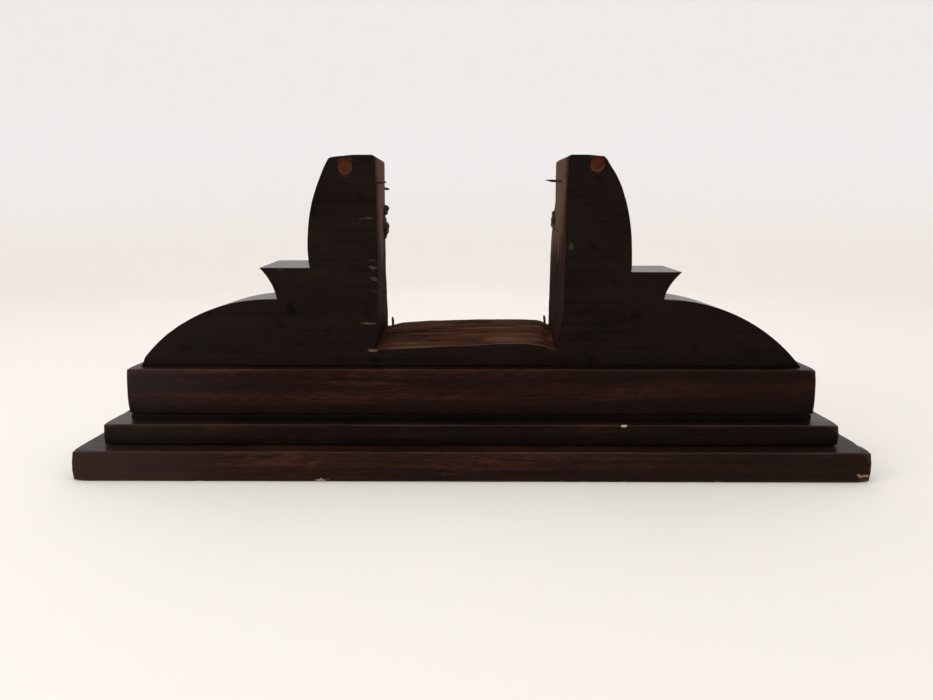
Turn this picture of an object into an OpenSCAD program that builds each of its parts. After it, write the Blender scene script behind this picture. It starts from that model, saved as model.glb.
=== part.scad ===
// A stepped hardwood desk stand with an open cradle cut down through the middle
// of its scrolled body. Three stacked boards carry a body of one thick piece.
// Origin: middle of the underside. +X to the right, +Y to the back, +Z up.

/* [Base boards] */
// Length of the bottom board, the longest piece
bottom_l = 400; // [330:1:480]
// Depth of the bottom board, front to back
bottom_d = 105; // [87:1:128]
// Thickness of the bottom board
bottom_t = 15.5; // [12:0.5:20]
// Thickness of the middle board
middle_t = 11; // [8:0.5:16]
// Thickness of the packing strip under the top board
strip_t = 3; // [2:0.5:5]
// Thickness of the top board
top_t = 24; // [20:0.5:30]
// Width of the tread that the bottom board shows all round
bottom_tread = 12; // [6:0.5:15]
// Width of the tread that the middle board shows all round
middle_tread = 9.5; // [5:0.5:12]
// Width of the tread that the top board shows at its front and its back
top_tread = 7.5; // [4:0.5:10]
// How far the packing strip is set back from the top board's edges
strip_setback = 1; // [0.5:0.1:3]

/* [Body] */
// Width of the tread that the body leaves at each end of the top board
end_tread = 5.5; // [4:0.5:10]
// Height of the body, from the top board to the tops of its uprights
body_h = 109; // [89:0.5:130]
// Height of the rounded shoulders
shoulder_h = 35.5; // [30:0.5:40]
// Height of the flat shelf over the pointed lips
shelf_h = 51.5; // [46:0.5:56]
// How far the root of a lip stands out from its upright
lip_root = 17.5; // [12:0.5:20]
// How far the point of a lip stands out from its upright
lip_reach = 26.4; // [23:0.2:30]
// Radius of the hollow under a lip
lip_hollow_r = 30; // [20:1:40]
// Thickness of an upright where it leaves the shelf
upright_w = 34; // [30:1:41]
// Thickness of an upright at its top
upright_top_w = 20.3; // [18:0.1:24]
// Straight stretch of an upright's outer side, above the shelf
upright_straight = 6.5; // [4:0.5:16]

/* [Cradle] */
// Width of the cradle between its two walls
cradle_w = 98; // [81:1:118]
// Height of the cradle's floor at the front of the body
floor_front_h = 11.2; // [10:0.2:14]
// Height of the cradle's floor at the back of the body
floor_back_h = 17; // [12:0.5:20]

/* [Plugs] */
// Diameter of the two wooden plugs in the fronts of the uprights
plug_dia = 7.8; // [6:0.1:9.4]
// Length of a plug
plug_l = 12; // [8:1:20]
// Depth of a plug's face below the front of the body
plug_setback = 1; // [0.5:0.1:2]
// Distance from the left cradle wall to the middle of its plug
left_plug_from_wall = 14.6; // [10:0.1:15]
// Distance from the right cradle wall to the middle of its plug
right_plug_from_wall = 15.4; // [10:0.1:15.8]
// Wood left between the left plug's hole and the top of its upright
left_plug_rim = 2.3; // [1:0.1:8]
// Wood left between the right plug's hole and the top of its upright
right_plug_rim = 1; // [0.6:0.1:8]

/* [Wire pins] */
// Diameter of the wire that the pins are made of
pin_dia = 1.4; // [1:0.1:2]
// Length of pin that is held in the wood
pin_bite = 8; // [5:0.5:9]
// Length that the left front pin stands out
left_front_pin_out = 6.2; // [3:0.1:9]
// Length that the left back pin stands out
left_back_pin_out = 3.8; // [3:0.1:9]
// Length that the right pin stands out
right_pin_out = 9.2; // [3:0.1:12]
// Length that the left floor pin stands out
left_floor_pin_out = 6; // [3:0.1:9]
// Length that the right floor pin stands out
right_floor_pin_out = 7.2; // [3:0.1:9]

/* [Screws] */
// Diameter of a screw's shank
screw_dia = 4.4; // [3:0.2:5]
// Diameter of a screw's countersunk head
screw_head_dia = 8.8; // [7:0.2:10]
// Length of base screw that bites into the top board
base_screw_bite = 15; // [8:1:17]
// Length of body screw that bites into the body
body_screw_bite = 20; // [12:1:22]

/* [Fits] */
// Radial clearance round a plug
plug_clear = 0.05; // [0.02:0.01:0.1]
// Radial clearance round a pin
pin_clear = 0.05; // [0.02:0.01:0.1]
// Radial clearance round a screw
screw_clear = 0.05; // [0.02:0.01:0.1]

/* [Hidden] */
$fn = 64;
over = 1; // how far a cut runs past the face that it opens

middle_l = bottom_l - 2 * bottom_tread;
middle_d = bottom_d - 2 * bottom_tread;
top_l = middle_l - 2 * middle_tread;
top_d = middle_d - 2 * middle_tread;
strip_l = top_l - 2 * strip_setback;
strip_d = top_d - 2 * strip_setback;
body_l = top_l - 2 * end_tread;
body_d = top_d - 2 * top_tread;

middle_z = bottom_t;
strip_z = middle_z + middle_t;
top_z = strip_z + strip_t;
body_z = top_z + top_t;

wall_x = cradle_w / 2;
upright_x = wall_x + upright_w;
upright_top_x = wall_x + upright_top_w;
root_x = upright_x + lip_root;
tip_x = upright_x + lip_reach;
front_y = -body_d / 2;
back_y = body_d / 2;
left_plug_drop = left_plug_rim + plug_dia / 2;
right_plug_drop = right_plug_rim + plug_dia / 2;

// Radius of an arc that leaves a level (or plumb) tangent and, after a run, has fallen by a drop
function falling_arc_r(run, drop) = (run * run + drop * drop) / (2 * drop);
shoulder_r = falling_arc_r(body_l / 2 - root_x, shoulder_h);
upright_arc_h = shelf_h + upright_straight;
upright_r = falling_arc_r(body_h - upright_arc_h, upright_x - upright_top_x);

// Middle of the circle that hollows a lip: it passes through the lip's root and its point
lip_chord = [tip_x - root_x, shelf_h - shoulder_h];
lip_off = sqrt(lip_hollow_r * lip_hollow_r / (lip_chord * lip_chord) - 0.25);
lip_centre = [root_x + lip_chord.x / 2 + lip_off * lip_chord.y,
              shoulder_h + lip_chord.y / 2 - lip_off * lip_chord.x];

// Height of the cradle's floor above the body's underside, at a place along the depth
floor_slope = (floor_back_h - floor_front_h) / body_d;
function floor_h(y) = floor_front_h + floor_slope * (y - front_y);

// Each wall pin: side of the cradle, place along the depth, drop from the top
left_front_pin_at = [-1, front_y + 3.5, 14];
left_back_pin_at = [-1, back_y - 4, 15.5];
right_pin_at = [1, 0, 12.3];
// Each floor pin: place along the length, place along the depth
left_floor_pin_at = [-wall_x + 5, back_y - 7];
right_floor_pin_at = [wall_x - 7, back_y - 8];
pin_point = 2.2;      // length of a pin's tapered end
pin_point_dia = 0.5;

// Glue lumps on the cradle walls, each a list of caps: place along the depth, drop, radius, thickness
left_glue_caps = [[back_y - 8, 27.5, 3.6, 1.9], [back_y - 9, 37.5, 5.4, 3.1]];
right_glue_caps = [[back_y - 8, 33.5, 6, 2.4]];

// Screws: the base screws stand in two rows of three, the body screws in one row of four
base_screw_x = top_l / 2 - 28;
base_screw_y = top_d / 2 - 14;
base_screw_places = [for (x = [-1, 0, 1], y = [-1, 1]) [x * base_screw_x, y * base_screw_y]];
upright_screw_x = wall_x + upright_w / 2;
shoulder_screw_x = root_x + 18;
body_screw_places = [for (side = [-1, 1], x = [upright_screw_x, shoulder_screw_x]) [side * x, 0]];
head_setback = 0.4;   // depth of a screw's head below the face that it is sunk in
head_h = (screw_head_dia - screw_dia) / 2;
head_rim = 0.6;       // straight rim of a head, above its cone
screw_point = 5;      // length of a screw's tapered end
base_screw_l = bottom_t + middle_t + strip_t + base_screw_bite - head_setback;
body_screw_l = top_t + body_screw_bite - head_setback;

// A board centred on the Z axis, with its underside at z
module board(l, d, t, z) {
    translate([-l / 2, -d / 2, z]) cube([l, d, t]);
}

// A screw that points up, with the face of its head at z = 0
module screw(l) {
    difference() {
        rotate_extrude()
            polygon([[0, 0], [screw_head_dia / 2, 0], [screw_head_dia / 2, head_rim],
                     [screw_dia / 2, head_rim + head_h], [screw_dia / 2, l - screw_point], [0, l]]);
        translate([-screw_head_dia, -0.5, -over]) cube([2 * screw_head_dia, 1, over + 1.2]);
    }
}

// The hole for a screw's shank, from z = 0 up
module shank_hole(h) {
    translate([0, 0, -over]) cylinder(r = screw_dia / 2 + screw_clear, h = h + over);
}

// The sunk seat for a screw's head in a face at z = 0
module head_seat() {
    seat_r = screw_head_dia / 2 + screw_clear;
    seat_z = head_setback + head_rim;
    translate([0, 0, -over]) cylinder(r = seat_r, h = over + seat_z);
    translate([0, 0, seat_z]) cylinder(r1 = seat_r, r2 = screw_dia / 2 + screw_clear, h = head_h);
}

// One half of the body's outline, to the right of the middle
module half_outline() {
    square([root_x, shoulder_h]);
    intersection() {
        translate([root_x, shoulder_h - shoulder_r]) circle(r = shoulder_r, $fn = 180);
        translate([root_x - over, 0]) square([body_l / 2, shoulder_h + over]);
    }
    difference() {
        polygon([[0, shoulder_h], [root_x, shoulder_h], [tip_x, shelf_h], [0, shelf_h]]);
        translate(lip_centre) circle(r = lip_hollow_r, $fn = 90);
    }
    translate([0, shelf_h]) square([upright_x, upright_straight]);
    intersection() {
        translate([upright_x - upright_r, upright_arc_h]) circle(r = upright_r, $fn = 180);
        translate([0, upright_arc_h]) square([upright_x, body_h - upright_arc_h]);
    }
}

// The space cut down through the body, with its sloping floor
module cradle_cut() {
    y0 = front_y - over;
    y1 = back_y + over;
    translate([-wall_x, 0, 0]) rotate([90, 0, 90]) linear_extrude(cradle_w)
        polygon([[y0, floor_h(y0)], [y1, floor_h(y1)], [y1, body_h + over], [y0, body_h + over]]);
}

// Puts a child that points along Z on a cradle wall, pointing into the cradle
module on_wall(side, y, drop) {
    translate([side * wall_x, y, body_z + body_h - drop]) rotate([0, -90 * side, 0]) children();
}

// Puts a child on the cradle's floor
module on_floor(x, y) {
    translate([x, y, body_z + floor_h(y)]) children();
}

// Puts a child at the front of an upright, pointing to the back
module on_front(side, drop) {
    from_wall = side < 0 ? left_plug_from_wall : right_plug_from_wall;
    translate([side * (wall_x + from_wall), front_y, body_z + body_h - drop])
        rotate([-90, 0, 0]) children();
}

// A wire pin that stands out of a face at z = 0
module pin(out) {
    translate([0, 0, -pin_bite]) cylinder(d = pin_dia, h = pin_bite + out - pin_point);
    translate([0, 0, out - pin_point]) cylinder(d1 = pin_dia, d2 = pin_point_dia, h = pin_point);
}

// The hole that holds a pin
module pin_hole() {
    translate([0, 0, -pin_bite]) cylinder(r = pin_dia / 2 + pin_clear, h = pin_bite + over);
}

// A plug in its hole, behind a face at z = 0
module plug() {
    translate([0, 0, plug_setback]) cylinder(d = plug_dia, h = plug_l);
}

// The hole that holds a plug
module plug_hole() {
    translate([0, 0, -over]) cylinder(r = plug_dia / 2 + plug_clear, h = over + plug_setback + plug_l);
}

// A rounded cap of dried glue on a face at z = 0
module glue_cap(cap_r, cap_h) {
    ball_r = falling_arc_r(cap_r, cap_h);
    intersection() {
        translate([0, 0, cap_h - ball_r]) sphere(r = ball_r);
        cylinder(r = cap_r + over, h = cap_h + over);
    }
}

module bottom_board() {
    color("#3b1f17") difference() {
        board(bottom_l, bottom_d, bottom_t, 0);
        for (p = base_screw_places) translate(p) {
            head_seat();
            shank_hole(bottom_t + over);
        }
    }
}

module middle_board() {
    color("#2e1813") difference() {
        board(middle_l, middle_d, middle_t, middle_z);
        for (p = base_screw_places) translate([p.x, p.y, middle_z]) shank_hole(middle_t + over);
    }
}

module packing_strip() {
    color("#1c0f0c") difference() {
        board(strip_l, strip_d, strip_t, strip_z);
        for (p = base_screw_places) translate([p.x, p.y, strip_z]) shank_hole(strip_t + over);
    }
}

module top_board() {
    color("#3a1c15") difference() {
        board(top_l, top_d, top_t, top_z);
        for (p = base_screw_places) translate([p.x, p.y, top_z]) shank_hole(base_screw_bite);
        for (p = body_screw_places) translate([p.x, p.y, top_z]) {
            head_seat();
            shank_hole(top_t + over);
        }
    }
}

module body() {
    color("#1d110e") difference() {
        translate([0, 0, body_z]) difference() {
            translate([0, back_y, 0]) rotate([90, 0, 0]) linear_extrude(body_d)
                for (side = [0, 1]) mirror([side, 0]) half_outline();
            cradle_cut();
        }
        on_front(-1, left_plug_drop) plug_hole();
        on_front(1, right_plug_drop) plug_hole();
        for (p = [left_front_pin_at, left_back_pin_at, right_pin_at]) on_wall(p[0], p[1], p[2]) pin_hole();
        for (p = [left_floor_pin_at, right_floor_pin_at]) on_floor(p.x, p.y) pin_hole();
        for (p = body_screw_places) translate([p.x, p.y, body_z]) shank_hole(body_screw_bite);
    }
}

module left_plug() { color("#8a4a2b") on_front(-1, left_plug_drop) plug(); }
module right_plug() { color("#8a4a2b") on_front(1, right_plug_drop) plug(); }

module wall_pin(at, out) { color("#2b2624") on_wall(at[0], at[1], at[2]) pin(out); }
module floor_pin(at, out) { color("#2b2624") on_floor(at.x, at.y) pin(out); }
module left_front_pin() { wall_pin(left_front_pin_at, left_front_pin_out); }
module left_back_pin() { wall_pin(left_back_pin_at, left_back_pin_out); }
module right_pin() { wall_pin(right_pin_at, right_pin_out); }
module left_floor_pin() { floor_pin(left_floor_pin_at, left_floor_pin_out); }
module right_floor_pin() { floor_pin(right_floor_pin_at, right_floor_pin_out); }

module glue_lump(side, caps) {
    color("#24160c") for (c = caps) on_wall(side, c[0], c[1]) glue_cap(c[2], c[3]);
}
module left_glue() { glue_lump(-1, left_glue_caps); }
module right_glue() { glue_lump(1, right_glue_caps); }

module base_screws() {
    color("#8f7a4a") for (p = base_screw_places) translate([p.x, p.y, head_setback]) screw(base_screw_l);
}

module body_screws() {
    color("#8f7a4a") for (p = body_screw_places) translate([p.x, p.y, top_z + head_setback]) screw(body_screw_l);
}

bottom_board();
middle_board();
packing_strip();
top_board();
body();
left_plug();
right_plug();
left_front_pin();
left_back_pin();
right_pin();
left_floor_pin();
right_floor_pin();
left_glue();
right_glue();
base_screws();
body_screws();
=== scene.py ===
import math
import bmesh
import bpy
import numpy as np
from mathutils import Matrix, Vector, noise


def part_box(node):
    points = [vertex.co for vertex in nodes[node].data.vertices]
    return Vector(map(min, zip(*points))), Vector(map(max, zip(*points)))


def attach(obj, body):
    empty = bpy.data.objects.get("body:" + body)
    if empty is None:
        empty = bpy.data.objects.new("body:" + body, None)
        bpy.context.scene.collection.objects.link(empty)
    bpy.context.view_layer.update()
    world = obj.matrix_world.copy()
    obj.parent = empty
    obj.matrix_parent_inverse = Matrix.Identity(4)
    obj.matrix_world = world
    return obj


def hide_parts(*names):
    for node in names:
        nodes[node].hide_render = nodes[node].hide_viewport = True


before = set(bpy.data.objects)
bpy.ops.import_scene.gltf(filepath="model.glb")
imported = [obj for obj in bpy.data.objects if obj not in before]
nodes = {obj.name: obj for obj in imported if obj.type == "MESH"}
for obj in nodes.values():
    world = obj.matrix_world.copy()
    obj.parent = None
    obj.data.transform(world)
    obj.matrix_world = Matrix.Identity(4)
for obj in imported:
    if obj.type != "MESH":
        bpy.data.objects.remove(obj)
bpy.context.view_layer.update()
mm = 0.001
axisVectors = [Vector((1, 0, 0)), Vector((0, 1, 0)), Vector((0, 0, 1))]
print("frame loaded,", len(nodes), "nodes")


class Signal:
    # a socket that takes part in plain arithmetic
    def __init__(self, finish, socket):
        self.finish = finish
        self.socket = socket

    def math(self, operation, other=0.0, swapped=False):
        first, second = (other, self) if swapped else (self, other)
        return self.finish.add("ShaderNodeMath", {"operation": operation}, {0: first, 1: second})

    def __add__(self, other):
        return self.math("ADD", other)

    def __radd__(self, other):
        return self.math("ADD", other, True)

    def __sub__(self, other):
        return self.math("SUBTRACT", other)

    def __rsub__(self, other):
        return self.math("SUBTRACT", other, True)

    def __mul__(self, other):
        return self.math("MULTIPLY", other)

    def __rmul__(self, other):
        return self.math("MULTIPLY", other, True)


class Finish:
    # one material and the nodes that make it
    def __init__(self, name):
        self.material = bpy.data.materials.new(name)
        self.material.use_nodes = True
        self.tree = self.material.node_tree
        self.tree.nodes.clear()
        self.place = self.add("ShaderNodeTexCoord", out="Object")

    def add(self, kind, settings=None, sockets=None, out=0):
        node = self.tree.nodes.new(kind)
        for key, value in (settings or {}).items():
            setattr(node, key, value)
        for key, value in (sockets or {}).items():
            if isinstance(value, Signal):
                self.tree.links.new(value.socket, node.inputs[key])
            else:
                node.inputs[key].default_value = value
        return Signal(self, node.outputs[out])

    def stretched(self, scale, shift=(0, 0, 0), turn=(0, 0, 0)):
        return self.add("ShaderNodeMapping", None,
                        {"Vector": self.place, "Scale": scale, "Location": shift, "Rotation": turn})

    def noise(self, vector, scale=1.0, detail=4.0, roughness=0.55, distortion=0.0):
        return self.add("ShaderNodeTexNoise", None,
                        {"Vector": vector, "Scale": scale, "Detail": detail,
                         "Roughness": roughness, "Distortion": distortion})

    def step(self, value, low, high):
        # 0 below low, 1 above high, smooth between
        return self.add("ShaderNodeMapRange", {"interpolation_type": "SMOOTHSTEP"},
                        {"Value": value, "From Min": low, "From Max": high})

    def blend(self, share, first, second):
        return self.add("ShaderNodeMix", {"data_type": "RGBA"},
                        {0: share, 6: first, 7: second}, 2)

    def part(self, vector, axis):
        return self.add("ShaderNodeSeparateXYZ", None, {0: vector}, axis)

    def painted(self, name):
        # a value that was painted on the piece's own points
        return self.add("ShaderNodeAttribute", {"attribute_name": name}, out="Fac")

    def spot(self, centre, size, ragged=0.0):
        # 1 in the middle of a soft ellipsoid, 0 outside it; ragged breaks up its outline
        scale = [1 / s for s in size]
        moved = self.stretched(scale, [-c * s for c, s in zip(centre, scale)])
        away = self.add("ShaderNodeVectorMath", {"operation": "LENGTH"}, {0: moved}, "Value")
        if ragged:
            away = away + (self.noise(self.stretched((380, 380, 900)), detail=3.0) - 0.5) * ragged
        return 1 - self.step(away, 0.55, 1.0)

    def bumped(self, height, distance, strength=1.0):
        return self.add("ShaderNodeBump", None,
                        {"Height": height, "Distance": distance, "Strength": strength})

    def surface(self, sockets, other=None, share=None):
        # with other, a second surface shows where share is 1
        shader = self.add("ShaderNodeBsdfPrincipled", None, sockets)
        if other:
            bare = self.add("ShaderNodeBsdfPrincipled", None, other)
            shader = self.add("ShaderNodeMixShader", None, {0: share, 1: shader, 2: bare})
        output = self.tree.nodes.new("ShaderNodeOutputMaterial")
        self.tree.links.new(shader.socket, output.inputs["Surface"])
        return self.material


def tint(r, g, b):
    return (r, g, b, 1.0)


def soften(t):
    t = min(1.0, max(0.0, t))
    return t * t * (3 - 2 * t)


def everything(mesh):
    return mesh.verts[:] + mesh.edges[:] + mesh.faces[:]


def sliceAcross(mesh, axis, start, end, step):
    # parallel cuts along one axis, so that there are points to shape
    count = max(1, round((end - start) / step))
    for i in range(count + 1):
        at = [0.0, 0.0, 0.0]
        at[axis] = start + (end - start) * i / count
        bmesh.ops.bisect_plane(mesh, geom=everything(mesh), dist=1e-6,
                               plane_co=at, plane_no=axisVectors[axis])


def asObject(mesh, name):
    bmesh.ops.recalc_face_normals(mesh, faces=mesh.faces)
    data = bpy.data.meshes.new(name)
    mesh.to_mesh(data)
    mesh.free()
    piece = bpy.data.objects.new(name, data)
    bpy.context.scene.collection.objects.link(piece)
    return piece


def applyModifiers(piece):
    bpy.context.view_layer.update()
    evaluated = piece.evaluated_get(bpy.context.evaluated_depsgraph_get())
    shaped = bpy.data.meshes.new_from_object(evaluated)
    shaped.name = piece.name
    piece.modifiers.clear()
    piece.data = shaped


def cutAway(piece, cutters):
    # cutters is a mesh of separate closed solids
    tool = asObject(cutters, piece.name + "Tool")
    cut = piece.modifiers.new("cut", "BOOLEAN")
    cut.operation = "DIFFERENCE"
    cut.solver = "EXACT"
    cut.object = tool
    applyModifiers(piece)
    bpy.data.objects.remove(tool)


def addCylinder(mesh, centre, axis, radius, length, endRadius=None, segments=32):
    # a closed cylinder or cone whose first end is at centre and which runs along axis
    turn = Vector((0, 0, 1)).rotation_difference(axis).to_matrix().to_4x4()
    matrix = Matrix.Translation(centre) @ turn @ Matrix.Translation((0, 0, length / 2))
    return bmesh.ops.create_cone(mesh, cap_ends=True, segments=segments, radius1=radius,
                                 radius2=radius if endRadius is None else endRadius,
                                 depth=length, matrix=matrix)["verts"]


def paint(piece, name, value):
    # value is a function of a point's place and its normal
    layer = piece.data.attributes.new(name, "FLOAT", "POINT")
    for point, entry in zip(piece.data.vertices, layer.data):
        entry.value = value(point.co, point.normal)


def smoothShade(piece, angle=38):
    piece.data.shade_smooth()
    piece.data.set_sharp_from_angle(angle=math.radians(angle))


def hand(piece, node, material):
    # the piece stands for its CAD node and rides on the one body
    piece.data.materials.clear()
    piece.data.materials.append(material)
    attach(piece, "root")
    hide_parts(node)
    print("made", piece.name, len(piece.data.polygons), "faces")
    return piece


def woodFinish(name, look):
    # dark rosewood with its grain along X: bands, fibres, pores, wax and worn arrises, with painted shade and a painted
    # sheen laid over the colour
    wood = Finish(name)
    shift = look["shift"]
    wander = wood.noise(wood.stretched((3.2, 14, 14), shift), detail=2.0)
    bent = wood.add("ShaderNodeVectorMath", {"operation": "ADD"},
                    {0: wood.stretched((1, 1, 1), shift),
                     1: wood.add("ShaderNodeCombineXYZ", None,
                                 {"Y": (wander - 0.5) * 0.012, "Z": (wander - 0.5) * 0.016})})
    def along(scale):
        return wood.add("ShaderNodeVectorMath", {"operation": "MULTIPLY"}, {0: bent, 1: scale})
    bands = wood.noise(along((2.4, 95, 110)), detail=3.0, roughness=0.5)
    fibres = wood.noise(along((14, 620, 620)), detail=5.0, roughness=0.6)
    threads = wood.noise(along((34, 1500, 1500)), detail=3.0, roughness=0.6)
    dashes = wood.noise(along((130, 1150, 1150)), detail=4.0, roughness=0.65)
    poreNoise = wood.noise(along((150, 2300, 2300)), detail=1.0)
    pores = wood.step(poreNoise, 0.63, 0.72)
    patches = wood.noise(wood.stretched((16, 40, 40), shift), detail=3.0)

    colour = wood.blend(wood.step(bands, 0.36, 0.66), look["dark"], look["mid"])
    glow = wood.step(bands * 0.34 + fibres * 0.2 + dashes * 0.34 + patches * 0.34, 0.61, 0.74)
    colour = wood.blend(glow * look["glow"], colour, look["bright"])
    colour = wood.blend(wood.step(dashes, 0.5, 0.32) * look["dashes"], colour, look["vein"])
    colour = wood.blend(wood.step(dashes, 0.58, 0.76) * look["dashes"], colour, look["bright"])
    colour = wood.blend(wood.step(fibres, 0.52, 0.3) * 0.75, colour, look["vein"])
    colour = wood.blend(wood.step(threads, 0.56, 0.8) * 0.35, colour, look["bright"])
    colour = wood.blend(pores * 0.8, colour, look["pore"])

    roughness = look["rough"] + (patches - 0.5) * 0.22 + (fibres - 0.5) * 0.16 + pores * 0.2
    height = fibres * 0.5 + threads * 0.25 - pores * 0.6

    # a painted sheen with some dust pales the left end; painted shade darkens the right end and the foot of each face
    length = wood.part(wood.place, "X")
    # painted shade: the right end is darkened
    colour = wood.blend(wood.step(length, look["rightShadeFrom"], look["rightShadeTo"]) * look["rightShade"], colour, look["dark"])
    # painted sheen with some dust: the left end is made paler
    colour = wood.blend(wood.step(length, -0.10, -0.19) * look["dustAndSheenShare"], colour, look["dustAndSheen"])
    # painted shade: the foot of each face is darkened
    colour = wood.blend(wood.painted("shadeAndGrime") * look["footShadeShare"], colour, look["vein"])
    upward = wood.painted("upward")
    # painted shade with some grime: the upward faces of the treads are darkened
    colour = wood.blend(upward * look["treadShadeAndGrime"], colour, look["vein"])

    worn = wood.painted("worn")
    rub = wood.step(worn + (fibres - 0.5) * 0.5 + (patches - 0.5) * 0.5, 0.42, 0.85)
    colour = wood.blend(rub * look["wornShare"], colour, look["worn"])
    roughness = roughness + rub * 0.12
    return wood, {"colour": colour, "roughness": roughness, "height": height, "upward": upward,
                  "fibres": fibres, "threads": threads, "patches": patches, "bands": bands}


def closeWood(wood, parts, look):
    relief = wood.bumped(parts["height"], look["relief"])
    waxed = {"Base Color": parts["colour"], "Roughness": parts["roughness"], "Normal": relief,
             "Specular IOR Level": look["shine"], "Coat Weight": parts["upward"] * look["topShine"],
             "Coat Roughness": 0.32, "Coat Tint": tint(1.0, 0.90, 0.80)}
    if "bareColour" not in parts:
        return wood.surface(waxed)
    bare = {"Base Color": parts["bareColour"], "Roughness": parts["bareRoughness"], "Normal": relief,
            "Specular IOR Level": look["bareShine"]}
    return wood.surface(waxed, bare, parts["bareShare"])


def markWood(wood, parts, marks):
    # small knocks and scratches: place, half sizes, colour and how much of it shows
    for centre, size, colour, share in marks:
        edge = wood.spot(centre, size, 2.6) * (0.5 + parts["threads"])
        parts["colour"] = wood.blend(wood.step(edge, 0.3, 0.8) * share, parts["colour"], colour)


boards = {
    "bottomBoard": dict(
        node="bottom_board", slot="bottom_wood", lowerWorn=1.0, arris=0.75 * mm, wear=0.32 * mm, corner=1.0 * mm,
        dark=tint(0.0115, 0.0045, 0.0030), mid=tint(0.026, 0.0086, 0.0050),
        bright=tint(0.060, 0.0185, 0.0100), vein=tint(0.0065, 0.0030, 0.0022),
        pore=tint(0.003, 0.002, 0.0018), worn=tint(0.075, 0.045, 0.034), wornShare=0.45,
        dustAndSheen=tint(0.034, 0.0185, 0.0150), dustAndSheenShare=0.6, rightShadeFrom=0.03, rightShadeTo=0.17, rightShade=0.6, footShadeShare=0.0,
        glow=0.8, dashes=0.6, rough=0.40, relief=0.10 * mm, shine=0.06, topShine=0.05, treadShadeAndGrime=0.45,
        shift=(0.13, 0.31, 0.07),
        marks=[((0.196, -0.0525, 0.0035), (0.004, 0.003, 0.0012), tint(0.3, 0.2, 0.14), 0.8),
               ((-0.074, -0.0525, 0.0004), (0.004, 0.003, 0.0014), tint(0.34, 0.22, 0.15), 0.9)]),
    "middleBoard": dict(
        node="middle_board", slot="middle_wood", lowerWorn=0.2, arris=0.6 * mm, wear=0.28 * mm, corner=0.8 * mm,
        dark=tint(0.0052, 0.0026, 0.0017), mid=tint(0.0125, 0.0050, 0.0030),
        bright=tint(0.030, 0.0105, 0.0054), vein=tint(0.0034, 0.0018, 0.0013),
        pore=tint(0.0028, 0.002, 0.0017), worn=tint(0.06, 0.038, 0.028), wornShare=0.4,
        dustAndSheen=tint(0.018, 0.0105, 0.0085), dustAndSheenShare=0.6, rightShadeFrom=0.03, rightShadeTo=0.17, rightShade=0.6, footShadeShare=0.75,
        glow=0.75, dashes=0.6, rough=0.36, relief=0.09 * mm, shine=0.05, topShine=0.22, treadShadeAndGrime=0.0,
        shift=(0.71, 0.12, 0.43),
        marks=[((0.078, -0.0405, 0.0262), (0.0022, 0.002, 0.0009), tint(0.5, 0.42, 0.34), 0.9)]),
    "packingStrip": dict(
        node="packing_strip", slot="strip_wood", lowerWorn=0.0, arris=0.3 * mm, wear=0.15 * mm, corner=0.3 * mm,
        dark=tint(0.0035, 0.0021, 0.0017), mid=tint(0.0070, 0.0035, 0.0025),
        bright=tint(0.012, 0.0058, 0.0038), vein=tint(0.0028, 0.0019, 0.0016),
        pore=tint(0.002, 0.0015, 0.0013), worn=tint(0.02, 0.012, 0.009), wornShare=0.3,
        dustAndSheen=tint(0.010, 0.0075, 0.0065), dustAndSheenShare=0.6, rightShadeFrom=0.03, rightShadeTo=0.17, rightShade=0.6, footShadeShare=0.0,
        glow=0.5, dashes=0.4, rough=0.6, relief=0.12 * mm, shine=0.05, topShine=0.0, treadShadeAndGrime=0.0,
        shift=(0.27, 0.55, 0.91),
        marks=[]),
    "topBoard": dict(
        node="top_board", slot="top_wood", lowerWorn=0.35, arris=0.7 * mm, wear=0.3 * mm, corner=1.0 * mm,
        dark=tint(0.0095, 0.0032, 0.0020), mid=tint(0.0235, 0.0064, 0.0034),
        bright=tint(0.056, 0.0145, 0.0068), vein=tint(0.0050, 0.0022, 0.0015),
        pore=tint(0.0028, 0.0019, 0.0016), worn=tint(0.065, 0.036, 0.026), wornShare=0.4,
        dustAndSheen=tint(0.023, 0.0155, 0.0170), dustAndSheenShare=0.65, rightShadeFrom=0.03, rightShadeTo=0.15, rightShade=0.72, footShadeShare=0.85,
        glow=0.85, dashes=0.65, rough=0.38, relief=0.10 * mm, shine=0.05, topShine=0.06, treadShadeAndGrime=0.4,
        shift=(0.39, 0.83, 0.22),
        marks=[((-0.0705, -0.031, 0.031), (0.0042, 0.003, 0.0012), tint(0.0015, 0.001, 0.001), 0.9)]),
}
screwCut = dict(headRadius=4.45 * mm, seatDepth=1.0 * mm, coneHeight=2.2 * mm, shankRadius=2.25 * mm,
                over=1 * mm)


def screwPlaces(node, rows):
    # where a screw node's shanks stand, from its box; rows is how many stand along X
    low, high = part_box(node)
    radius = screwCut["headRadius"] - 0.05 * mm
    reachX, reachY = high.x - radius, high.y - radius
    across = [-1, 1] if reachY > radius else [0]
    return [(reachX * column, reachY * row) for column in rows for row in across]


def nearestFaces(point, low, high):
    # distances from a point on a box to its nearest three pairs of faces, smallest first
    return sorted(min(point[i] - low[i], high[i] - point[i]) for i in range(3))


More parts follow.
